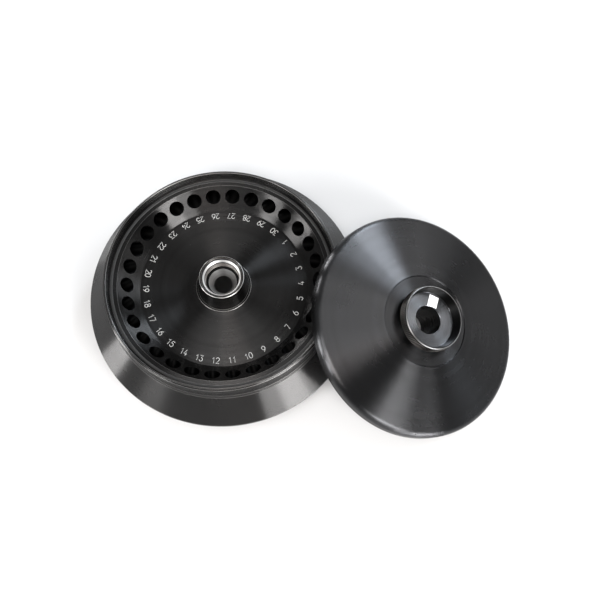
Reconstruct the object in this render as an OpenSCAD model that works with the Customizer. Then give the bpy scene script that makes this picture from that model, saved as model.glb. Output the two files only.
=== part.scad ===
// Fixed angle rotor for 30 small sample tubes, with its screw-down lid leaning against it.
// Millimetres, +Z up. The origin is on the spindle axis, in the plane the rotor stands on.

/* [Tube holes] */
// Number of tube holes in the ring
hole_count = 30; // [12:1:30]
// Diameter of a tube hole
hole_d = 11.1; // [9:0.1:11.4]
// Length of the straight wall of a tube hole
hole_depth = 34; // [20:1:34]
// Radius of the circle through the middles of the hole mouths
hole_ring_r = 71.5; // [70:0.5:73]
// Angle of the first hole from +X
first_hole = 1.9; // [0:0.1:12]

/* [Rotor body] */
// Height of the numbered floor of the bowl
floor_z = 41; // [40:0.5:44]
// Radius at which the flat floor turns up into the face with the holes
floor_r = 63.2; // [62:0.2:64]
// Radius at which the face with the holes meets the land under the lid
land_r = 77.7; // [77:0.1:78.5]
// Inner radius of the lip round the lid
lip_r = 84.4; // [84:0.1:84.6]
// Outer radius of the upper wall
wall_r = 86.6; // [86:0.1:87.5]
// Height of the top of the lip
lip_z = 62.9; // [62:0.1:64]
// Height at which the upper wall meets the skirt
wall_z = 47; // [46:0.5:48]
// Widest radius, at the lower edge of the skirt
skirt_r = 104.5; // [104:0.1:106]
// Height of the widest edge
skirt_z = 25.9; // [25:0.1:27]

/* [Underside] */
// Outer radius of the ring that the rotor stands on
foot_r = 82; // [76:0.5:84]
// Inner radius of the ring that the rotor stands on
foot_bore_r = 69; // [66:0.5:70]
// Height of the roof of the hollow under the floor
hollow_z = 32; // [30:0.5:34]
// Radius of the boss round the spindle
boss_r = 37; // [30:0.5:38]
// Gap between the boss and the surface that the rotor stands on
boss_gap = 4; // [3:0.5:8]

/* [Hub] */
// Height of the hub above the floor
hub_h = 18.3; // [17:0.1:20]
// Radius of the hub at its top
hub_top_r = 16.6; // [16.2:0.1:17]
// Radius of the hub just above its flange
hub_foot_r = 19.4; // [18:0.1:20]
// Radius of the flange of the hub
hub_flange_r = 20.9; // [20.4:0.1:22]
// Radius of the spindle bore
spindle_r = 7; // [6:0.1:8]

/* [Lid] */
// Outer radius of the lid
lid_r = 84.15; // [83.9:0.05:84.2]
// Height of the straight wall of the lid
lid_wall_h = 4.8; // [4:0.1:6]
// Radius of the rounded shoulder of the lid
lid_round = 5.1; // [4:0.1:6]
// Radius of the flat ring in the middle of the lid
ring_r = 34.5; // [33:0.1:36]
// Height of the inner edge of the lid's cone above its lower edge
ring_z = 18.4; // [18:0.1:19]
// Wall thickness of the lid's cone
lid_skin = 4.2; // [3.5:0.1:5]
// Tilt of the leaning lid
lid_tilt = 23.8; // [23.5:0.1:24]
// Direction in which the lid leans, from +X
lid_turn = -11.7; // [-20:0.1:0]
// Distance from the spindle axis to the middle of the lid's lower edge
lid_reach = 146; // [146:0.1:150]

/* [Lid screw] */
// Radius of the knurled grip
grip_r = 24; // [22:0.1:26]
// Height of the top of the grip above the lid's lower edge
grip_top = 29.9; // [29:0.1:32]
// Height of the knurled band
grip_h = 8.4; // [7:0.1:9]
// Radius of the hole through the screw
key_r = 10.5; // [9:0.1:10.6]
// Radius of the threaded stub of the screw, at the roots of its thread
thread_r = 12.3; // [12:0.1:12.6]
// Number of ridges round the grip
knurl_count = 110; // [60:2:120]

/* [Hidden] */
$fn = 96;
e = 0.01; // small overlap that keeps cuts clean

// Tube holes
hole_r = hole_d / 2;
hole_step = 360 / hole_count;
mouth_z = floor_z + hole_ring_r - floor_r; // the face with the holes rises at 45 degrees
tip_r = 1.2;
tip_h = hole_r - tip_r; // drill point, at 45 degrees
hole_lead = 12; // how far the cutter stands out of the mouth

// Bowl and lip
land_z = floor_z + land_r - floor_r;
lip_chamfer = 0.4;
lip_flat_r = 85.4;
wall_top_z = lip_z - 1.1; // start of the bevel up to the lip
step_r = 87.8;
step_z = wall_z - 2.2;
skirt_round = 1.6;
seal_in_r = 80.9;
seal_out_r = 82.6;
seal_depth = 1.4;
seal_proud = 0.3;
seal_edge = 0.35;

// Underside
foot_chamfer = 1.5;
hollow_r = 58;
hollow_knee_z = 22;
boss_chamfer = 1.5;

// Hub, its threaded sleeve and the bush that takes the spindle
hub_flange_h = 0.8;
hub_top_z = floor_z + hub_h;
hub_edge = 0.5;
hub_flange_top = floor_z + 0.5;
hub_flange_edge = 0.3;
hub_lip_edge = 0.3;
hub_shank_r = 17;
hub_shank_z = 14;
hub_lip_r = 15.2;
sleeve_r = 15;
sleeve_bore_r = 13;
sleeve_top_z = hub_top_z - 0.9;
sleeve_bottom_z = sleeve_top_z - 9.4;
sleeve_lead = 1.9; // depth of the cone in its mouth
sleeve_face = 0.3; // flat ring left round the cone
sleeve_edge = 0.5;
bush_r = 12;
bush_mouth_r = 10.3;
bush_top_z = mouth_z;
bush_cone_h = 5.5;
bush_edge = 0.5;

// Drive flange under the boss, its screws and its pins
flange_r = 27;
flange_h = 4;
flange_z = boss_gap;
flange_edge = 0.6;
bore_lead = 1;
screw_ring_r = 21.5;
screw_count = 4;
screw_d = 4;
screw_head_d = 7.6;
screw_head_h = 1.9;
screw_len = 12;
socket_d = 2.9; // across the corners of the hexagon
socket_depth = 1.6;
pin_ring_r = 20;
pin_d = 5;
pin_len = 13;
pin_proud = 3;
pin_edge = 0.6;

// Lid
round_r = lid_r - lid_round; // middle of the shoulder's arc
lid_slope = atan((ring_z - lid_wall_h) / (round_r - ring_r))
    - asin(lid_round / norm([round_r - ring_r, ring_z - lid_wall_h])); // tangent to that arc
lid_edge = 0.6;
lid_foot_r = 78.5;
lid_foot_edge = 0.3;
lid_boss_r = 24;
lid_boss_z = 6.5;
lid_bore_r = 16.05;
ring_drop = 0.7;
ring_plane = ring_z - ring_drop;
lid_z = (lid_r - lid_edge) * sin(lid_tilt); // the lower edge just meets the surface below

// Lid screw
washer_h = 0.5;
washer_r = 19.2;
washer_play = 0.1;
neck_r = 19.5;
grip_edge = 0.6;
grip_low = grip_top - grip_h;
rim_r = grip_r - 1.4;
rim_edge = 0.4;
dish_r = 20.6;
dish_z = 21.8;
dish_corner = [0.5, 1.4]; // widening and height of the sloped foot of its wall
key_edge = 0.3;
journal_r = 16;
journal_z = 4.4;
clip_h = 1.2;
clip_z = lid_boss_z - clip_h;
clip_groove_r = 15.1;
clip_out_r = 18.6;
clip_gap = 50;
clip_play = 0.1;
clip_cut = 30; // reach of the wedge that opens it
stub_z = -5.2;
stub_edge = 1;
oring_r = 0.9;
knurl_depth = 0.45;
knurl_root_r = grip_r - knurl_depth;
knurl_low = grip_low + grip_edge;
knurl_top = grip_top - 1.2;
core_r = knurl_root_r - 0.15; // plain drum inside the ridges
drum_wall = 0.5; // how far the ring of ridges reaches into the drum
mark_w = 7.8;
mark_len = 8.6;
mark_in = 10.7;
mark_h = 0.15;
mark_turn = 84.7;

// Points of an arc round (cr, cz), from one angle to another
function arc(cr, cz, r, from, to, steps = 12) =
    [for (i = [0 : steps]) let (a = from + (to - from) * i / steps) [cr + r * cos(a), cz + r * sin(a)]];

// A turned part from its half outline of [radius, height] points
module turned(points) {
    rotate_extrude($fn = 180) polygon(points);
}

// Places its children along the axis of one tube hole, with z = 0 at the mouth and +Z pointing out
module at_hole(k) {
    rotate([0, 0, first_hole + k * hole_step])
        translate([hole_ring_r, 0, mouth_z])
            rotate([0, -45, 0])
                children();
}

module hole_cutter() {
    translate([0, 0, -hole_depth]) cylinder(h = hole_depth + hole_lead, r = hole_r, $fn = 64);
    translate([0, 0, -hole_depth - tip_h]) cylinder(h = tip_h + e, r1 = tip_r, r2 = hole_r, $fn = 64);
}

// Places its children in the frame of the leaning lid, with z = 0 at its lower edge
module on_lid() {
    rotate([0, 0, lid_turn])
        translate([lid_reach, 0, lid_z])
            rotate([0, lid_tilt, 0])
                children();
}

module rotor_body() {
    color([0.07, 0.07, 0.08])
    difference() {
        // the seam of the revolve lies between two holes
        rotate([0, 0, first_hole + hole_step / 2]) turned(concat(
            [[hub_shank_r, floor_z], [hub_shank_r, hub_shank_z], [bush_r, hub_shank_z],
             [bush_r, boss_gap + flange_h], [flange_r, boss_gap + flange_h], [flange_r, boss_gap],
             [boss_r - boss_chamfer, boss_gap], [boss_r, boss_gap + boss_chamfer], [boss_r, hollow_z],
             [hollow_r, hollow_z], [foot_bore_r, hollow_knee_z], [foot_bore_r, foot_chamfer],
             [foot_bore_r + foot_chamfer, 0], [foot_r - foot_chamfer, 0], [foot_r, foot_chamfer]],
            arc(skirt_r - skirt_round, skirt_z, skirt_round, -45, 41, 6),
            [[step_r, step_z], [wall_r, wall_z], [wall_r, wall_top_z], [lip_flat_r, lip_z],
             [lip_r + lip_chamfer, lip_z], [lip_r, lip_z - lip_chamfer], [lip_r, land_z],
             [seal_out_r, land_z], [seal_out_r, land_z - seal_depth], [seal_in_r, land_z - seal_depth],
             [seal_in_r, land_z], [land_r, land_z], [floor_r, floor_z], [hub_flange_r, floor_z],
             [hub_flange_r, floor_z - hub_flange_h], [hub_shank_r, floor_z - hub_flange_h]]
        ));
        for (k = [0 : hole_count - 1]) at_hole(k) hole_cutter();
        for (k = [0 : screw_count - 1]) at_screw(k) cylinder(h = screw_len, d = screw_d);
        for (k = [0, 1]) at_pin(k)
            translate([0, 0, -e]) cylinder(h = pin_len - pin_proud - flange_h + e, d = pin_d);
    }
}

// A flange let into the floor, a tapered nose above it and a shank pressed into the body
module hub() {
    color([0.08, 0.08, 0.09])
    turned([
        [sleeve_r, sleeve_bottom_z], [bush_r, sleeve_bottom_z], [bush_r, hub_shank_z],
        [hub_shank_r, hub_shank_z], [hub_shank_r, floor_z - hub_flange_h],
        [hub_flange_r, floor_z - hub_flange_h], [hub_flange_r, hub_flange_top - hub_flange_edge],
        [hub_flange_r - hub_flange_edge, hub_flange_top], [hub_foot_r, hub_flange_top],
        [hub_foot_r, floor_z + hub_flange_h], [hub_top_r, hub_top_z - hub_edge],
        [hub_top_r - hub_edge, hub_top_z], [hub_lip_r + hub_lip_edge, hub_top_z],
        [hub_lip_r, hub_top_z - hub_lip_edge], [hub_lip_r, sleeve_top_z], [sleeve_r, sleeve_top_z]
    ]);
}

module thread_sleeve() {
    color([0.75, 0.75, 0.76])
    turned([
        [sleeve_bore_r, sleeve_bottom_z + sleeve_edge], [sleeve_bore_r + sleeve_edge, sleeve_bottom_z],
        [sleeve_r, sleeve_bottom_z], [sleeve_r, sleeve_top_z], [sleeve_r - sleeve_face, sleeve_top_z],
        [sleeve_bore_r, sleeve_top_z - sleeve_lead]
    ]);
}

module spindle_bush() {
    color([0.45, 0.45, 0.46])
    turned([
        [spindle_r, boss_gap + flange_h], [bush_r, boss_gap + flange_h], [bush_r, bush_top_z - bush_edge],
        [bush_r - bush_edge, bush_top_z], [bush_mouth_r, bush_top_z], [spindle_r, bush_top_z - bush_cone_h]
    ]);
}

module rim_seal() {
    color([0.03, 0.03, 0.03])
    turned([
        [seal_in_r, land_z - seal_depth], [seal_out_r, land_z - seal_depth],
        [seal_out_r, land_z + seal_proud - seal_edge], [seal_out_r - seal_edge, land_z + seal_proud],
        [seal_in_r + seal_edge, land_z + seal_proud], [seal_in_r, land_z + seal_proud - seal_edge]
    ]);
}

module at_screw(k) {
    rotate([0, 0, 45 + k * 360 / screw_count]) translate([screw_ring_r, 0, flange_z]) children();
}

module at_pin(k) {
    rotate([0, 0, k * 180]) translate([pin_ring_r, 0, flange_z + flange_h]) children();
}

// A countersunk socket screw with its head down, flush with z = 0; a cutter for it starts lower, by over
module flange_screw(over = 0) {
    grow = over * (screw_head_d - screw_d) / screw_head_h;
    translate([0, 0, -over]) cylinder(h = screw_head_h + over, d1 = screw_head_d + grow, d2 = screw_d);
    cylinder(h = screw_len, d = screw_d);
}

module drive_flange() {
    color([0.5, 0.5, 0.51])
    difference() {
        translate([0, 0, flange_z])
            turned([
                [spindle_r, bore_lead], [spindle_r + bore_lead, 0], [flange_r - flange_edge, 0],
                [flange_r, flange_edge], [flange_r, flange_h], [spindle_r, flange_h]
            ]);
        for (k = [0 : screw_count - 1]) at_screw(k) flange_screw(e);
        for (k = [0, 1]) at_pin(k) translate([0, 0, -pin_len]) cylinder(h = 2 * pin_len, d = pin_d);
    }
}

module flange_screws() {
    color([0.6, 0.6, 0.6])
    for (k = [0 : screw_count - 1]) at_screw(k)
        difference() {
            flange_screw();
            translate([0, 0, -e]) cylinder(h = socket_depth + e, d = socket_d, $fn = 6);
        }
}

// Two dowels that stand down from the flange into the slots of the motor's coupling
module drive_pins() {
    color([0.6, 0.6, 0.6])
    for (k = [0, 1]) at_pin(k)
        translate([0, 0, -flange_h - pin_proud]) {
            translate([0, 0, pin_edge]) cylinder(h = pin_len - pin_edge, d = pin_d);
            cylinder(h = pin_edge, d1 = pin_d - 2 * pin_edge, d2 = pin_d);
        }
}

module lid_plate() {
    skin_z = ring_z - (lid_foot_r - ring_r) * tan(lid_slope) - lid_skin;
    color([0.07, 0.07, 0.08])
    on_lid()
        turned(concat(
            [[lid_bore_r, ring_plane], [lid_bore_r, lid_boss_z], [lid_boss_r, lid_boss_z],
             [lid_boss_r, ring_plane - lid_skin], [ring_r, ring_z - lid_skin],
             [lid_foot_r, skin_z], [lid_foot_r, lid_foot_edge], [lid_foot_r + lid_foot_edge, 0],
             [lid_r - lid_edge, 0], [lid_r, lid_edge]],
            arc(round_r, lid_wall_h, lid_round, 0, 90 - lid_slope, 8),
            [[ring_r, ring_z], [ring_r - ring_drop, ring_plane]]
        ));
}

// Half outline of the hand screw: hollow threaded stub, journal, neck, grip and the dish in its top
module screw_core() {
    turned([
        [key_r, stub_z], [thread_r - stub_edge, stub_z], [thread_r, stub_z + stub_edge],
        [thread_r, journal_z], [journal_r, journal_z], [journal_r, clip_z],
        [clip_groove_r, clip_z], [clip_groove_r, clip_z + clip_h],
        [journal_r, clip_z + clip_h], [journal_r, ring_plane + washer_h],
        [neck_r, ring_plane + washer_h], [neck_r, grip_low], [core_r - rim_edge, grip_low],
        [core_r, grip_low + rim_edge], [core_r, grip_top - rim_edge], [core_r - rim_edge, grip_top],
        [rim_r, grip_top], [rim_r - rim_edge, grip_top - rim_edge], [dish_r, dish_z] + dish_corner,
        [dish_r, dish_z], [key_r + key_edge, dish_z], [key_r, dish_z - key_edge]
    ]);
}

// Ring of straight ridges round the grip
module knurl_band() {
    translate([0, 0, knurl_low])
        linear_extrude(knurl_top - knurl_low)
            difference() {
                polygon([for (i = [0 : 2 * knurl_count - 1])
                    let (r = i % 2 == 0 ? grip_r : knurl_root_r, a = i * 180 / knurl_count)
                    [r * cos(a), r * sin(a)]]);
                circle(r = core_r - drum_wall);
            }
}

module lid_screw() {
    color([0.06, 0.06, 0.07])
    on_lid() {
        screw_core();
        knurl_band();
    }
}

module slide_washer() {
    color([0.85, 0.85, 0.82])
    on_lid()
        translate([0, 0, ring_plane])
            difference() {
                cylinder(h = washer_h, r = washer_r);
                translate([0, 0, -e]) cylinder(h = washer_h + 2 * e, r = journal_r + washer_play);
            }
}

// Circlip that holds the screw in the lid
module retaining_ring() {
    color([0.5, 0.5, 0.5])
    on_lid()
        translate([0, 0, clip_z])
            difference() {
                cylinder(h = clip_h - clip_play, r = clip_out_r);
                translate([0, 0, -e]) cylinder(h = clip_h + 2 * e, r = clip_groove_r);
                translate([0, 0, -e]) linear_extrude(clip_h + 2 * e)
                    polygon([[0, 0], clip_cut * [cos(clip_gap / 2), -sin(clip_gap / 2)],
                             clip_cut * [cos(clip_gap / 2), sin(clip_gap / 2)]]);
            }
}

// Rubber ring at the foot of the journal that closes the thread when the lid is down
module stub_seal() {
    color([0.03, 0.03, 0.03])
    on_lid()
        translate([0, 0, journal_z - oring_r])
            rotate_extrude($fn = 96) translate([thread_r + oring_r, 0]) circle(r = oring_r, $fn = 24);
}

// Reflecting tab on the dish, read by the centrifuge's speed sensor
module speed_mark() {
    color([1, 1, 1])
    on_lid()
        rotate([0, 0, mark_turn])
            translate([mark_in, -mark_w / 2, dish_z])
                cube([mark_len, mark_w, mark_h]);
}

rotor_body();
hub();
thread_sleeve();
spindle_bush();
rim_seal();
drive_flange();
flange_screws();
drive_pins();
lid_plate();
lid_screw();
slide_washer();
retaining_ring();
stub_seal();
speed_mark();
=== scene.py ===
import bpy
import math
from mathutils import Matrix, Vector


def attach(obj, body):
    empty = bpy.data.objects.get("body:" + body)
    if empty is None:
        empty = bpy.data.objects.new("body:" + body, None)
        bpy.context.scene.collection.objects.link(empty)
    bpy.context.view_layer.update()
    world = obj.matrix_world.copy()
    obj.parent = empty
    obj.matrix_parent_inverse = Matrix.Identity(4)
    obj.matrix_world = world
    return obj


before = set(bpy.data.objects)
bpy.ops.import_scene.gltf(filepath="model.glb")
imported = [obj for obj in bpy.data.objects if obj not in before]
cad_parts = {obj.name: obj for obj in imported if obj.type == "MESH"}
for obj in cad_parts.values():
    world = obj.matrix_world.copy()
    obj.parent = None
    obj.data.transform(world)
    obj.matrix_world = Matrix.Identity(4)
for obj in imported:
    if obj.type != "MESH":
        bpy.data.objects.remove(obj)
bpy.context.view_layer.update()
print("frame loaded:", len(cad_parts), "solids")

mm = 0.001
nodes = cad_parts

# where the lid leans, as in the part's source
leaningLid = {"tilt": 23.8, "turn": -11.7, "reach": 146.0, "radius": 84.15, "edge": 0.6}


def lidPlace():
    tilt, turn = math.radians(leaningLid["tilt"]), math.radians(leaningLid["turn"])
    lift = (leaningLid["radius"] - leaningLid["edge"]) * math.sin(tilt)
    return (Matrix.Rotation(turn, 4, "Z")
            @ Matrix.Translation(Vector((leaningLid["reach"], 0, lift)) * mm)
            @ Matrix.Rotation(tilt, 4, "Y"))


lidMatrix = lidPlace()


# helpers for modelling
def selectOnly(piece):
    bpy.ops.object.select_all(action="DESELECT")
    piece.select_set(True)
    bpy.context.view_layer.objects.active = piece


def namePiece(name):
    piece = bpy.context.object
    piece.name = name
    piece.data.name = name
    selectOnly(piece)
    return piece


def applyModifier(piece, kind, **values):
    selectOnly(piece)
    bpy.ops.object.modifier_add(type=kind)
    modifier = piece.modifiers[-1]
    for key, value in values.items():
        setattr(modifier, key, value)
    bpy.ops.object.modifier_apply(modifier=modifier.name)


def settle(piece, place=None):
    # writes the place into the mesh, so that the object itself sits at the origin
    piece.data.transform((place or Matrix.Identity(4)) @ piece.matrix_world)
    piece.matrix_world = Matrix.Identity(4)


# node tools for materials
def newGroup(name, inputs, outputs):
    group = bpy.data.node_groups.new(name, "ShaderNodeTree")
    for label, kind, value in inputs:
        socket = group.interface.new_socket(name=label, in_out="INPUT", socket_type=kind)
        if value is not None:
            socket.default_value = value
    for label, kind in outputs:
        group.interface.new_socket(name=label, in_out="OUTPUT", socket_type=kind)
    return group, group.nodes.new("NodeGroupInput"), group.nodes.new("NodeGroupOutput")


def mathNode(tree, operation, first, second=None, clamp=False):
    node = tree.nodes.new("ShaderNodeMath")
    node.operation = operation
    node.use_clamp = clamp
    for slot, value in enumerate((first, second)):
        if value is None:
            continue
        if isinstance(value, (int, float)):
            node.inputs[slot].default_value = value
        else:
            tree.links.new(value, node.inputs[slot])
    return node.outputs[0]


def rampNode(tree, value, low, high):
    node = tree.nodes.new("ShaderNodeMapRange")
    node.inputs["From Min"].default_value, node.inputs["From Max"].default_value = low
    node.inputs["To Min"].default_value, node.inputs["To Max"].default_value = high
    tree.links.new(value, node.inputs["Value"])
    return node.outputs["Result"]


def vectorNode(tree, operation, first, second=None):
    node = tree.nodes.new("ShaderNodeVectorMath")
    node.operation = operation
    for slot, value in enumerate((first, second)):
        if value is None:
            continue
        if isinstance(value, Vector):
            node.inputs[slot].default_value = value
        else:
            tree.links.new(value, node.inputs[slot])
    return node.outputs["Value" if operation == "LENGTH" else "Vector"]


def noiseNode(tree, socket, point, scale, detail, roughness=0.5):
    # along one line when it is fed through its W socket
    node = tree.nodes.new("ShaderNodeTexNoise")
    node.noise_dimensions = "1D" if socket == "W" else "3D"
    node.inputs["Scale"].default_value = scale
    node.inputs["Detail"].default_value = detail
    node.inputs["Roughness"].default_value = roughness
    tree.links.new(point, node.inputs[socket])
    return node.outputs[0]


def mixColours(tree, factor, first, second):
    node = tree.nodes.new("ShaderNodeMix")
    node.data_type = "RGBA"
    for label, colour in (("A", first), ("B", second)):
        if isinstance(colour, tuple):
            node.inputs[label].default_value = (*colour, 1)
        else:
            tree.links.new(colour, node.inputs[label])
    tree.links.new(factor, node.inputs["Factor"])
    return node.outputs["Result"]


def groupNode(tree, group, point):
    node = tree.nodes.new("ShaderNodeGroup")
    node.node_tree = group
    tree.links.new(point, node.inputs["Point"])
    return node


def addBump(tree, shader, height, strength):
    bump = tree.nodes.new("ShaderNodeBump")
    bump.inputs["Strength"].default_value = strength
    bump.inputs["Distance"].default_value = 0.1 * mm
    tree.links.new(height, bump.inputs["Height"])
    tree.links.new(bump.outputs["Normal"], shader.inputs["Normal"])


def lathePoint(group, point):
    # distance from the lathe axis and height along it, both in millimetres, and the two offsets
    split = group.nodes.new("ShaderNodeSeparateXYZ")
    group.links.new(point, split.inputs[0])
    x, y, z = split.outputs
    radius = mathNode(group, "SQRT", mathNode(group, "ADD", mathNode(group, "MULTIPLY", x, x),
                                              mathNode(group, "MULTIPLY", y, y)))
    return (mathNode(group, "MULTIPLY", radius, 1 / mm), mathNode(group, "MULTIPLY", z, 1 / mm),
            (x, y))


# fine rings left by the lathe tool: one value that changes with radius and height only
toolMarks = {"slope": 0.83, "fineScale": 1.0, "fineDetail": 2.0,
             "broadScale": 0.11, "broadDetail": 1.0, "broadRange": (0.3, 0.7)}


def makeTurnedRings():
    group, given, result = newGroup(
        "turnedRings",
        [("Point", "NodeSocketVector", None), ("Pitch", "NodeSocketFloat", 0.35)],
        [("Height", "NodeSocketFloat"), ("Tone", "NodeSocketFloat")])
    radius, height, _ = lathePoint(group, given.outputs["Point"])
    along = mathNode(group, "ADD", radius, mathNode(group, "MULTIPLY", height, toolMarks["slope"]))
    steps = mathNode(group, "DIVIDE", along, given.outputs["Pitch"])
    fine = noiseNode(group, "W", steps, toolMarks["fineScale"], toolMarks["fineDetail"])
    broad = noiseNode(group, "W", steps, toolMarks["broadScale"], toolMarks["broadDetail"])
    group.links.new(fine, result.inputs["Height"])
    group.links.new(rampNode(group, broad, toolMarks["broadRange"], (0.0, 1.0)),
                    result.inputs["Tone"])
    return group


# faint handling marks: a cloudy film, and sparse dust where the film is thick
handlingMarks = {"filmScale": 40.0, "filmDetail": 4.0, "filmRoughness": 0.6,
                 "filmRange": (0.35, 0.7), "dustScale": 260.0, "dustRange": (0.06, 0.02),
                 "dustAbove": 0.56}


def makeHandling():
    group, given, result = newGroup(
        "handling", [("Point", "NodeSocketVector", None)],
        [("Film", "NodeSocketFloat"), ("Dust", "NodeSocketFloat")])
    film = noiseNode(group, "Vector", given.outputs["Point"], handlingMarks["filmScale"],
                     handlingMarks["filmDetail"], handlingMarks["filmRoughness"])
    specks = group.nodes.new("ShaderNodeTexVoronoi")
    specks.inputs["Scale"].default_value = handlingMarks["dustScale"]
    group.links.new(given.outputs["Point"], specks.inputs["Vector"])
    group.links.new(rampNode(group, film, handlingMarks["filmRange"], (0.0, 1.0)),
                    result.inputs["Film"])
    spot = rampNode(group, specks.outputs["Distance"], handlingMarks["dustRange"], (0.0, 1.0))
    few = mathNode(group, "GREATER_THAN", film, handlingMarks["dustAbove"])
    group.links.new(mathNode(group, "MULTIPLY", spot, few), result.inputs["Dust"])
    return group


# mask of a band round the lathe axis, between two radii and two heights
def makeBand():
    limits = ("Inner", "Outer", "Low", "High", "Edge")
    inputs = [("Point", "NodeSocketVector", None)]
    inputs += [(label, "NodeSocketFloat", None) for label in limits]
    group, given, result = newGroup("band", inputs, [("Mask", "NodeSocketFloat")])
    radius, height, _ = lathePoint(group, given.outputs["Point"])
    inner, outer, low, high, edge = (given.outputs[label] for label in limits)
    sides = ((radius, inner), (outer, radius), (height, low), (high, height))
    inside = [mathNode(group, "DIVIDE", mathNode(group, "SUBTRACT", *side), edge, clamp=True)
              for side in sides]
    mask = mathNode(group, "MULTIPLY", mathNode(group, "MULTIPLY", inside[0], inside[1]),
                    mathNode(group, "MULTIPLY", inside[2], inside[3]))
    group.links.new(mask, result.inputs["Mask"])
    return group


# the slanted tube holes, where shade is painted: radius plus height is axisSum all along a hole's
# axis, and height less radius falls from face, at the mouth, to tip; the mask takes in the broken
# edge of the mouth
tubeHoles = {"count": 30, "first": 1.9, "axisSum": 120.8, "face": -21.9, "tip": -77.0,
             "radius": 5.95, "sharpness": 4.0}


def makeHoleMask():
    group, given, result = newGroup(
        "holeMask", [("Point", "NodeSocketVector", None)], [("Mask", "NodeSocketFloat")])
    radius, height, (x, y) = lathePoint(group, given.outputs["Point"])
    angle = mathNode(group, "ARCTAN2", y, x)
    pitch = 2 * math.pi / tubeHoles["count"]
    turns = mathNode(group, "DIVIDE",
                     mathNode(group, "SUBTRACT", angle, math.radians(tubeHoles["first"])), pitch)
    offset = mathNode(group, "SUBTRACT", turns, mathNode(group, "ROUND", turns))
    side = mathNode(group, "MULTIPLY", radius,
                    mathNode(group, "SINE", mathNode(group, "MULTIPLY", offset, pitch)))
    slope = mathNode(group, "MULTIPLY",
                     mathNode(group, "SUBTRACT", mathNode(group, "ADD", radius, height),
                              tubeHoles["axisSum"]), math.sqrt(0.5))
    distance = mathNode(group, "SQRT", mathNode(group, "ADD",
                        mathNode(group, "MULTIPLY", side, side),
                        mathNode(group, "MULTIPLY", slope, slope)))
    near = mathNode(group, "MULTIPLY",
                    mathNode(group, "SUBTRACT", tubeHoles["radius"], distance),
                    tubeHoles["sharpness"], clamp=True)
    level = mathNode(group, "SUBTRACT", height, radius)
    inside = mathNode(group, "MULTIPLY", mathNode(group, "LESS_THAN", level, tubeHoles["face"]),
                      mathNode(group, "GREATER_THAN", level, tubeHoles["tip"]))
    group.links.new(mathNode(group, "MULTIPLY", near, inside), result.inputs["Mask"])
    return group


turnedRings = makeTurnedRings()
handling = makeHandling()
band = makeBand()
holeMask = makeHoleMask()


def newMaterial(name):
    material = bpy.data.materials.new(name)
    material.use_nodes = True
    return material, material.node_tree, material.node_tree.nodes["Principled BSDF"]


def ownPoint(tree, place):
    # Object coordinates turned so that Z is the axis the piece was turned on
    coordinates = tree.nodes.new("ShaderNodeTexCoord")
    if place is None:
        return coordinates.outputs["Object"], coordinates
    mapping = tree.nodes.new("ShaderNodeMapping")
    mapping.vector_type = "TEXTURE"
    mapping.inputs["Location"].default_value = place.to_translation()
    mapping.inputs["Rotation"].default_value = place.to_euler()
    tree.links.new(coordinates.outputs["Object"], mapping.inputs["Vector"])
    return mapping.outputs["Vector"], coordinates


def grooveDirection(tree, coordinates, place):
    # runs round the lathe axis, for highlights stretched across the tool marks
    axis = (place.to_3x3() @ Vector((0, 0, 1))) if place else Vector((0, 0, 1))
    centre = place.to_translation() if place else Vector()
    offset = vectorNode(tree, "SUBTRACT", coordinates.outputs["Object"], centre)
    world = tree.nodes.new("ShaderNodeVectorTransform")
    world.vector_type = "VECTOR"
    world.convert_from = "OBJECT"
    world.convert_to = "WORLD"
    tree.links.new(vectorNode(tree, "CROSS_PRODUCT", axis, offset), world.inputs[0])
    return world.outputs[0]


dustColour = (0.35, 0.34, 0.32)


def turnedMetal(name, look, place=None):
    material, tree, shader = newMaterial(name)
    point, coordinates = ownPoint(tree, place)
    rings = groupNode(tree, turnedRings, point)
    rings.inputs["Pitch"].default_value = look["pitch"]
    marks = groupNode(tree, handling, point)
    tone = mixColours(tree, rings.outputs["Tone"], look["dark"], look["light"])
    dust = mathNode(tree, "MULTIPLY", marks.outputs["Dust"], look["dust"])
    colour = mixColours(tree, dust, tone, dustColour)
    rough = mathNode(tree, "ADD", rampNode(tree, marks.outputs["Film"], (0, 1), look["rough"]),
                     mathNode(tree, "MULTIPLY", rings.outputs["Tone"], look["ringRough"]))
    # each zone mixes a painted highlight or painted shade into the colour, as a band or in the
    # tube holes, and changes the roughness there
    for zone in look["zones"]:
        mask = groupNode(tree, band if zone["limits"] else holeMask, point)
        for label, value in zone["limits"].items():
            mask.inputs[label].default_value = value
        colour = mixColours(tree, mask.outputs["Mask"], colour, zone["tint"])
        rough = mathNode(tree, "ADD", rough,
                         mathNode(tree, "MULTIPLY", mask.outputs["Mask"], zone["rough"]))
    tree.links.new(colour, shader.inputs["Base Color"])
    tree.links.new(rough, shader.inputs["Roughness"])
    addBump(tree, shader, rings.outputs["Height"], look["bump"])
    shader.inputs["Metallic"].default_value = look["metal"]
    shader.inputs["Anisotropic"].default_value = look["stretch"]
    shader.inputs["Anisotropic Rotation"].default_value = look["across"]
    tree.links.new(grooveDirection(tree, coordinates, place), shader.inputs["Tangent"])
    return material


def bandZone(inner, outer, low, high, tint, rough=0.0, edge=0.1):
    # a band of painted highlight or painted shade, between two radii and two heights in
    # millimetres
    return {"limits": {"Inner": inner, "Outer": outer, "Low": low, "High": high, "Edge": edge},
            "tint": tint, "rough": rough}


anodised = {"dark": (0.041, 0.04, 0.0395), "light": (0.05, 0.049, 0.0485), "dust": 0.15,
            "rough": (0.245, 0.275), "ringRough": 0.02, "pitch": 0.4, "bump": 0.05,
            "metal": 1.0, "stretch": 0.98, "across": 0.25, "zones": []}
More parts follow.
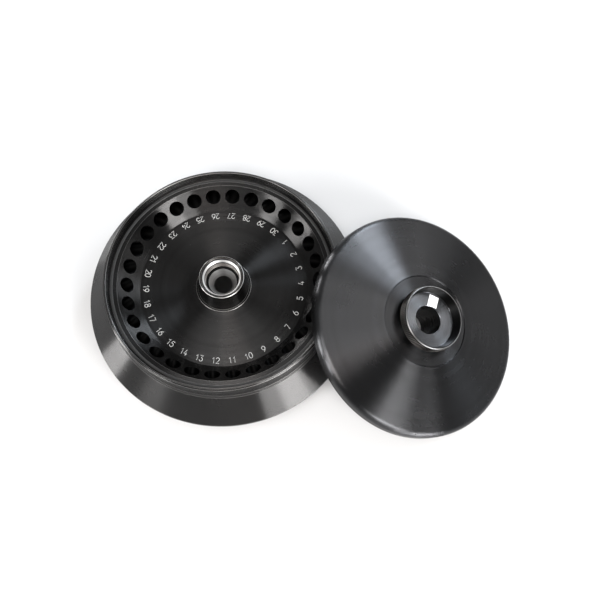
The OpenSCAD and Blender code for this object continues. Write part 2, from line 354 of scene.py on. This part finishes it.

# painted highlights, bright bands on the edges of the rotor: two radii, two heights and a grey
edgeHighlights = [
    (84.3, 84.85, 62.4, 63.0, 0.2), (85.25, 85.6, 62.5, 63.0, 0.12),
    (86.3, 86.75, 61.5, 62.1, 0.18), (84.2, 84.6, 58.9, 59.2, 0.13),
    (84.2, 84.6, 60.6, 60.9, 0.13), (84.2, 84.6, 56.9, 57.2, 0.1),
    (86.4, 86.9, 46.6, 47.3, 0.1), (87.6, 88.0, 44.4, 45.1, 0.1),
    (77.5, 77.95, 55.2, 55.7, 0.12), (80.65, 80.95, 55.2, 55.7, 0.15),
    (82.5, 82.85, 55.2, 55.7, 0.15), (104.1, 104.6, 26.6, 27.1, 0.16)]
bodyHighlights = [bandZone(*limits, (shade, shade * 0.98, shade * 0.96), 0.2, 0.08)
             for *limits, shade in edgeHighlights]
# painted shade, near black inside the tube holes and on the broken edges of their mouths
holeShade = {"limits": {}, "tint": (0.008, 0.008, 0.008), "rough": 0.15}

metalLooks = {
    "bodyBlack": dict(anodised, ringRough=0.01, bump=0.03, zones=bodyHighlights + [holeShade]),
    # painted highlights, bright bands on the edges of the hub's lip and flange
    "hubBlack": dict(anodised, rough=(0.22, 0.26), stretch=0.8, zones=[
        bandZone(16.2, 16.8, 58.7, 59.35, (0.66, 0.65, 0.64), 0.25),
        bandZone(15.1, 15.5, 58.8, 59.6, (0.16, 0.15, 0.14), 0.2),
        bandZone(20.6, 21.1, 41.0, 41.7, (0.36, 0.35, 0.34), 0.2),
        bandZone(19.2, 19.55, 41.2, 42.0, (0.18, 0.18, 0.17), 0.2)]),
    "lidBlack": dict(anodised, dark=(0.046, 0.046, 0.047), light=(0.051, 0.051, 0.053),
                     ringRough=0.01, bump=0.025),
    # painted sheen on the dish, painted shade on its wall, two lines of the rim as painted shade
    # and painted highlight, painted shade in the roots of the knurl and painted highlights on its
    # crests
    "gripBlack": dict(anodised, rough=(0.25, 0.3), stretch=0.9, pitch=0.3, zones=[
        bandZone(10.0, 20.7, 21.0, 22.2, (0.22, 0.226, 0.24), -0.08),
        bandZone(20.4, 22.7, 22.3, 29.5, (0.014, 0.014, 0.014), 0.1),
        bandZone(22.0, 22.6, 29.3, 30.1, (0.012, 0.012, 0.012), 0.2),
        bandZone(22.8, 23.5, 29.3, 30.1, (0.3, 0.3, 0.3), 0.2),
        bandZone(23.2, 23.78, 22.3, 28.5, (0.008, 0.008, 0.008), 0.15),
        bandZone(23.85, 24.5, 22.0, 29.0, (0.24, 0.225, 0.21), 0.1, 0.05)]),
    # painted shade, dark outside the lip and down the bore
    "brightSteel": dict(anodised, dark=(0.86, 0.85, 0.84), light=(0.93, 0.92, 0.91), dust=0.1,
                        rough=(0.38, 0.44), pitch=0.3, stretch=0.3, zones=[
        bandZone(14.1, 16.0, 55.0, 60.0, (0.06, 0.06, 0.06)),
        bandZone(12.0, 13.3, 40.0, 56.3, (0.05, 0.046, 0.043))]),
    # a painted highlight, bright on the crest of the thread
    "threadSteel": dict(anodised, dark=(0.045, 0.041, 0.038), light=(0.06, 0.055, 0.052),
                        dust=0.1, rough=(0.45, 0.5), pitch=0.3, stretch=0.0, zones=[
        bandZone(12.3, 12.62, 40.0, 60.0, (0.34, 0.32, 0.3))]),
    # painted shade, dark on the top of the bush and down its bore
    "greySteel": dict(anodised, dark=(0.36, 0.355, 0.35), light=(0.44, 0.434, 0.428), dust=0.1,
                      rough=(0.4, 0.45), pitch=0.3, stretch=0.3, zones=[
        bandZone(10.4, 12.5, 48.6, 50.0, (0.02, 0.02, 0.02)),
        bandZone(5.0, 7.2, -1.0, 43.8, (0.16, 0.16, 0.16))]),
    "springSteel": dict(anodised, dark=(0.20, 0.20, 0.20), light=(0.25, 0.25, 0.25),
                        rough=(0.3, 0.4)),
}

bodyBlack = turnedMetal("bodyBlack", metalLooks["bodyBlack"])
hubBlack = turnedMetal("hubBlack", metalLooks["hubBlack"])
lidBlack = turnedMetal("lidBlack", metalLooks["lidBlack"], lidMatrix)
gripBlack = turnedMetal("gripBlack", metalLooks["gripBlack"], lidMatrix)
brightSteel = turnedMetal("brightSteel", metalLooks["brightSteel"])
threadSteel = turnedMetal("threadSteel", metalLooks["threadSteel"])
greySteel = turnedMetal("greySteel", metalLooks["greySteel"])
springSteel = turnedMetal("springSteel", metalLooks["springSteel"], lidMatrix)


# grain of rubber, plastic, film and paint
softGrain = {"detail": 3.0, "range": (0.3, 0.7)}


def softMaterial(name, look):
    material, tree, shader = newMaterial(name)
    point, _ = ownPoint(tree, None)
    grain = noiseNode(tree, "Vector", point, look["grain"], softGrain["detail"])
    tree.links.new(mixColours(tree, grain, look["dark"], look["light"]),
                   shader.inputs["Base Color"])
    tree.links.new(rampNode(tree, grain, softGrain["range"], look["rough"]),
                   shader.inputs["Roughness"])
    addBump(tree, shader, grain, look["bump"])
    return material


blackRubber = softMaterial("blackRubber", {
    "dark": (0.012, 0.012, 0.012), "light": (0.03, 0.03, 0.03),
    "grain": 900.0, "rough": (0.45, 0.6), "bump": 0.3})
paleWasher = softMaterial("paleWasher", {
    "dark": (0.62, 0.61, 0.57), "light": (0.74, 0.73, 0.69),
    "grain": 500.0, "rough": (0.4, 0.55), "bump": 0.2})
whiteTab = softMaterial("whiteTab", {
    "dark": (0.93, 0.93, 0.93), "light": (1.0, 1.0, 1.0),
    "grain": 700.0, "rough": (0.5, 0.6), "bump": 0.1})
engravedWhite = softMaterial("engravedWhite", {
    "dark": (0.5, 0.5, 0.49), "light": (0.68, 0.68, 0.66),
    "grain": 1500.0, "rough": (0.55, 0.7), "bump": 0.3})

finishes = {
    "rotor_body": bodyBlack, "hub": hubBlack, "thread_sleeve": brightSteel,
    "spindle_bush": greySteel, "rim_seal": blackRubber, "drive_flange": greySteel,
    "flange_screws": greySteel, "drive_pins": greySteel, "lid_plate": lidBlack,
    "lid_screw": gripBlack, "slide_washer": paleWasher, "retaining_ring": springSteel,
    "stub_seal": blackRubber, "speed_mark": whiteTab,
}
for name, material in finishes.items():
    node = nodes[name]
    node.data.materials.clear()
    node.data.materials.append(material)
print("finishes given to the solids:", len(finishes))


# the numbers of the tube holes, cut with a round-nosed engraver and filled with white
numberRing = {"count": 30, "radius": 58.8, "height": 4.4, "floor": 41.0, "first": 38.1,
              "step": -12.0, "width": 2.5, "spacing": 3.1, "stroke": 0.19, "proud": 0.03}


def bow(x, y, wide, high, start, end, steps=12):
    # points along an arc, in parts of a digit's width and height
    turns = [math.radians(start + (end - start) * step / steps) for step in range(steps + 1)]
    return [(x + wide * math.cos(turn), y + high * math.sin(turn)) for turn in turns]


digitStrokes = {
    "0": [bow(0, 0, 0.5, 0.5, 90, 450, 24)],
    "1": [[(-0.3, 0.22), (0.1, 0.5), (0.1, -0.5)]],
    "2": [bow(0, 0.22, 0.48, 0.28, 170, -20) + [(0.3, 0.0), (-0.48, -0.5), (0.5, -0.5)]],
    "3": [[(-0.45, 0.5), (0.45, 0.5), (-0.05, 0.12)] + bow(0, -0.19, 0.48, 0.31, 80, -160)],
    "4": [[(0.0, 0.5), (-0.5, -0.24), (0.5, -0.24)], [(0.2, 0.04), (0.2, -0.5)]],
    "5": [[(0.42, 0.5), (-0.36, 0.5), (-0.42, 0.04)] + bow(-0.02, -0.17, 0.5, 0.33, 130, -155)],
    "6": [[(0.3, 0.5), (-0.2, 0.2)] + bow(0, -0.18, 0.48, 0.32, 165, 525, 20)],
    "7": [[(-0.48, 0.5), (0.48, 0.5), (-0.1, -0.5)]],
    "8": [bow(0, 0.26, 0.4, 0.24, -90, 270, 18), bow(0, -0.24, 0.5, 0.26, 90, 450, 20)],
    "9": [[(-0.3, -0.5), (0.2, -0.2)] + bow(0, 0.18, 0.48, 0.32, -15, 345, 20)],
}


def drawDigit(spline, points, shift):
    spline.points.add(len(points) - 1)
    for point, (x, y) in zip(spline.points, points):
        point.co = ((x * numberRing["width"] + shift) * mm, y * numberRing["height"] * mm, 0, 1)


def makeNumbers():
    made = []
    for number in range(1, numberRing["count"] + 1):
        bpy.ops.curve.primitive_nurbs_path_add(location=(0, 0, 0))
        path = bpy.context.object
        path.data.splines.clear()
        path.data.bevel_depth = numberRing["stroke"] * mm
        path.data.bevel_resolution = 2
        path.data.use_fill_caps = True
        digits = str(number)
        for place, digit in enumerate(digits):
            shift = (place - (len(digits) - 1) / 2) * numberRing["spacing"]
            for points in digitStrokes[digit]:
                drawDigit(path.data.splines.new("POLY"), points, shift)
        selectOnly(path)
        bpy.ops.object.convert(target="MESH")
        drawn = bpy.context.object
        azimuth = math.radians(numberRing["first"] + numberRing["step"] * (number - 1))
        drawn.data.transform(
            Matrix.Rotation(azimuth, 4, "Z")
            @ Matrix.Translation(Vector((numberRing["radius"], 0, numberRing["floor"])) * mm)
            @ Matrix.Rotation(math.radians(90), 4, "Z")
            @ Matrix.Diagonal((1, 1, numberRing["proud"] / numberRing["stroke"], 1)))
        made.append(drawn)
    bpy.ops.object.select_all(action="DESELECT")
    for drawn in made:
        drawn.select_set(True)
    bpy.context.view_layer.objects.active = made[0]
    bpy.ops.object.join()
    numbers = namePiece("hole_numbers")
    numbers.data.materials.clear()
    numbers.data.materials.append(engravedWhite)
    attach(numbers, "rotor")


makeNumbers()
print("numbers made")


# helical ridges of the coarse thread, one inside the sleeve and one on the stub
sleeveThread = {"name": "sleeve_thread", "wall": 13.0, "crest": 12.45, "low": 49.6, "pitch": 1.5,
                "turns": 4, "steps": 96, "root": 0.62, "tip": 0.16, "sink": 0.05}
stubThread = {"name": "stub_thread", "wall": 12.3, "crest": 12.8, "low": -3.9, "pitch": 1.5,
              "turns": 3, "steps": 96, "root": 0.62, "tip": 0.16, "sink": 0.05}


def makeThread(thread, material, body, place=None):
    bpy.ops.mesh.primitive_plane_add(size=1.0, rotation=(math.radians(90), 0, 0))
    ridge = namePiece(thread["name"])
    settle(ridge)
    inward = 1 if thread["crest"] > thread["wall"] else -1
    corners = sorted(ridge.data.vertices, key=lambda v: (v.co.x * inward, v.co.z))
    back, crest = thread["wall"] - thread["sink"] * inward, thread["crest"]
    profile = [(back, -thread["root"]), (back, thread["root"]),
               (crest, -thread["tip"]), (crest, thread["tip"])]
    for vertex, (x, z) in zip(corners, profile):
        vertex.co = Vector((x, 0, z + thread["low"])) * mm
    selectOnly(ridge)
    bpy.ops.object.mode_set(mode="EDIT")
    bpy.ops.mesh.select_all(action="SELECT")
    bpy.ops.mesh.delete(type="ONLY_FACE")
    bpy.ops.object.mode_set(mode="OBJECT")
    applyModifier(ridge, "SCREW", angle=math.radians(360), screw_offset=thread["pitch"] * mm,
                  iterations=thread["turns"], steps=thread["steps"], render_steps=thread["steps"],
                  use_merge_vertices=False)
    bpy.ops.object.mode_set(mode="EDIT")
    bpy.ops.mesh.select_all(action="SELECT")
    bpy.ops.mesh.fill_holes(sides=4)
    bpy.ops.mesh.select_all(action="SELECT")
    bpy.ops.mesh.normals_make_consistent(inside=False)
    bpy.ops.object.mode_set(mode="OBJECT")
    bpy.ops.object.shade_smooth_by_angle(angle=math.radians(30))
    if place:
        settle(ridge, place)
    ridge.data.materials.append(material)
    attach(ridge, body)


makeThread(sleeveThread, threadSteel, "rotor")
makeThread(stubThread, gripBlack, "screw", lidMatrix)
print("threads made")


# table, room, lamps and camera; fade is where the table turns white to the camera, in metres
studio = {"floorSize": 6.0, "floorShift": 0.08, "floorTone": 0.64, "floorRough": 0.9,
          "floorShine": 0.1, "white": 1.0, "fade": (0.4, 1.4), "world": 0.27,
          "aim": (0.06, 0.0, 0.03), "distance": 1.5, "narrowest": 0.2}
# softboxes round the table: direction and spread in degrees, glow is each one's brightness
lamps = {
    "rightFrontLow": {"azimuth": -55, "elevation": 4, "wide": 34, "high": 10, "glow": 4},
    "rightFrontCore": {"azimuth": -52, "elevation": 4, "wide": 16, "high": 10, "glow": 4.2},
    "rightFront": {"azimuth": -48, "elevation": 33, "wide": 16, "high": 17, "glow": 5.4},
    "rightFrontSide": {"azimuth": -62, "elevation": 33, "wide": 16, "high": 17, "glow": 2.4},
    "leftFront": {"azimuth": -140, "elevation": 33, "wide": 14, "high": 17, "glow": 4.4},
    "leftLow": {"azimuth": -165, "elevation": 4, "wide": 12, "high": 10, "glow": 7},
    "leftHigh": {"azimuth": -165, "elevation": 18, "wide": 14, "high": 17, "glow": 2.2},
    "backLow": {"azimuth": 125, "elevation": 4, "wide": 12, "high": 10, "glow": 8},
    "leftBackLow": {"azimuth": 145, "elevation": 4, "wide": 12, "high": 10, "glow": 4.5},
    "rightBack": {"azimuth": 61, "elevation": 33, "wide": 13, "high": 17, "glow": 6.6,
                  "tint": (0.84, 0.92, 1)},
    "rightBackHigh": {"azimuth": 35, "elevation": 42, "wide": 14, "high": 12, "glow": 3,
                      "tint": (0.84, 0.92, 1)},
    "rightSide": {"azimuth": 28, "elevation": 33, "wide": 16, "high": 17, "glow": 0.8},
    "rightTop": {"azimuth": 15, "elevation": 50, "wide": 28, "high": 17, "glow": 1.1},
    "frontTop": {"azimuth": -90, "elevation": 68, "wide": 45, "high": 17, "glow": 3.2,
                 "tint": (1, 0.94, 0.91)},
    "leftTop": {"azimuth": -135, "elevation": 68, "wide": 45, "high": 17, "glow": 1.8},
    "top": {"azimuth": 0, "elevation": 89, "wide": 90, "high": 22, "glow": 0.4},
}


def softbox(name, lamp):
    azimuth, elevation = math.radians(lamp["azimuth"]), math.radians(lamp["elevation"])
    towards = Vector((math.cos(azimuth) * math.cos(elevation),
                      math.sin(azimuth) * math.cos(elevation), math.sin(elevation)))
    # a lamp high up covers the same turn round the table with less width
    across = max(math.cos(elevation), studio["narrowest"]) * 2 * studio["distance"]
    width = across * math.tan(math.radians(lamp["wide"] / 2))
    height = 2 * studio["distance"] * math.tan(math.radians(lamp["high"] / 2))
    data = bpy.data.lights.new(name, "AREA")
    data.shape = "RECTANGLE"
    data.size, data.size_y = width, height
    data.energy = 4 * math.pi * width * height * lamp["glow"]
    data.color = lamp.get("tint", (1, 1, 1))
    light = bpy.data.objects.new(name, data)
    bpy.context.collection.objects.link(light)
    light.location = Vector(studio["aim"]) + towards * studio["distance"]
    light.rotation_euler = towards.to_track_quat("Z", "Y").to_euler()
    light.visible_camera = False


def makeFloor():
    bpy.ops.mesh.primitive_plane_add(size=studio["floorSize"],
                                     location=(studio["floorShift"], 0, 0))
    floor = namePiece("floor")
    settle(floor)
    material, tree, shader = newMaterial("paperWhite")
    shader.inputs["Base Color"].default_value = (*(studio["floorTone"],) * 3, 1)
    shader.inputs["Roughness"].default_value = studio["floorRough"]
    shader.inputs["Specular IOR Level"].default_value = studio["floorShine"]
    # far out it glows white to the camera, and near the object it only keeps the shadow
    path = tree.nodes.new("ShaderNodeLightPath")
    place = tree.nodes.new("ShaderNodeTexCoord")
    away = vectorNode(tree, "LENGTH", place.outputs["Object"])
    glow = rampNode(tree, away, studio["fade"], (0, studio["white"]))
    shader.inputs["Emission Color"].default_value = (1, 1, 1, 1)
    tree.links.new(mathNode(tree, "MULTIPLY", path.outputs["Is Camera Ray"], glow),
                   shader.inputs["Emission Strength"])
    floor.data.materials.append(material)


def makeWorld():
    world = bpy.data.worlds.new("paleRoom")
    bpy.context.scene.world = world
    world.use_nodes = True
    tree = world.node_tree
    background = tree.nodes["Background"]
    background.inputs["Color"].default_value = (1, 1, 1, 1)
    path = tree.nodes.new("ShaderNodeLightPath")
    tree.links.new(rampNode(tree, path.outputs["Is Camera Ray"], (0, 1),
                            (studio["world"], studio["white"])), background.inputs["Strength"])


makeFloor()
makeWorld()
for name, lamp in lamps.items():
    softbox(name, lamp)

cameraSetting = {"place": (0.0579, -0.2084, 0.5864), "tilt": 19.85, "lens": 46.14, "sensor": 36}
bpy.ops.object.camera_add(location=cameraSetting["place"],
                          rotation=(math.radians(cameraSetting["tilt"]), 0, 0))
camera = bpy.context.object
camera.name = "camera"
camera.data.lens = cameraSetting["lens"]
camera.data.sensor_width = cameraSetting["sensor"]
bpy.context.scene.camera = camera
bpy.context.scene.view_settings.view_transform = "Standard"
print("studio made")
